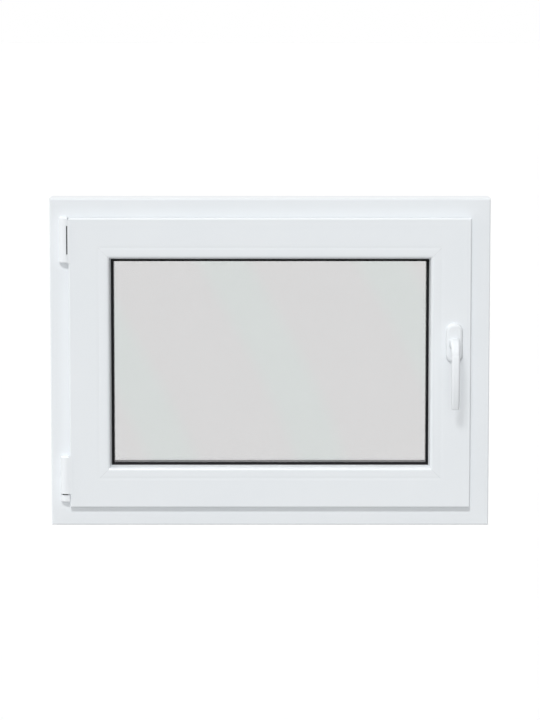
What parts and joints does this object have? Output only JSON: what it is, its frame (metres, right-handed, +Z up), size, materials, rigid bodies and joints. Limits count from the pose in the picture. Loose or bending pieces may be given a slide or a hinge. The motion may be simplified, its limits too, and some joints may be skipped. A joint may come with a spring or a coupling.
{
  "type": "tilt and turn pvc window",
  "caption": "White PVC window, one tilt and turn sash with double glazing, side hinges and a lever handle, in a welded frame.",
  "frame": {"origin": "middle of the frame's bottom face, at mid depth of the frame", "axes": "+X right as seen from the room, +Y outdoors, +Z up"},
  "size_m": [0.8, 0.1404, 0.6],
  "materials": {
    "white_pvc": "smooth white profile, satin gloss",
    "white_bead": "smooth white glazing bead, satin gloss",
    "black_gasket": "black rubber, matt",
    "grey_gasket": "grey rubber, matt",
    "clear_glass": "clear float glass with a faint green tint",
    "dark_spacer": "dark grey spacer bar",
    "white_trim": "moulded white cap",
    "hinge_cover": "moulded white cover",
    "hinge_metal": "zinc plated steel",
    "handle_white": "white powder coated aluminium"
  },
  "bodies": {
    "window": {"frame_head": "white_pvc", "frame_sill": "white_pvc", "frame_jamb_hinge_side": "white_pvc", "frame_jamb_lock_side": "white_pvc", "sash_top_rail": "white_pvc", "sash_bottom_rail": "white_pvc", "sash_stile_hinge_side": "white_pvc", "sash_stile_lock_side": "white_pvc", "bead_top": "white_bead", "bead_bottom": "white_bead", "bead_hinge_side": "white_bead", "bead_lock_side": "white_bead", "bead_gasket": "black_gasket", "outer_glazing_gasket": "black_gasket", "frame_stop_gasket": "black_gasket", "sash_overlap_gasket": "grey_gasket", "glass_inner_pane": "clear_glass", "glass_outer_pane": "clear_glass", "glass_spacer": "dark_spacer", "drain_cap_left": "white_trim", "drain_cap_right": "white_trim", "top_hinge_cover": "hinge_cover", "top_hinge_leaf": "hinge_cover", "bottom_hinge_cover": "hinge_cover", "bottom_hinge_leaf": "hinge_cover", "bottom_hinge_bearing": "hinge_cover", "top_hinge_bracket": "hinge_metal", "top_hinge_pin": "hinge_metal", "bottom_hinge_pin": "hinge_metal", "handle_rosette": "handle_white"},
    "handle": {"handle_lever": "handle_white"}
  },
  "joints": [
    {"name": "handle_turn", "type": "hinge", "parent": "window", "child": "handle", "pos_m": [0.3345, -0.055, 0.338], "axis": [0, 1, 0], "range_deg": [0, 180]}
  ]
}
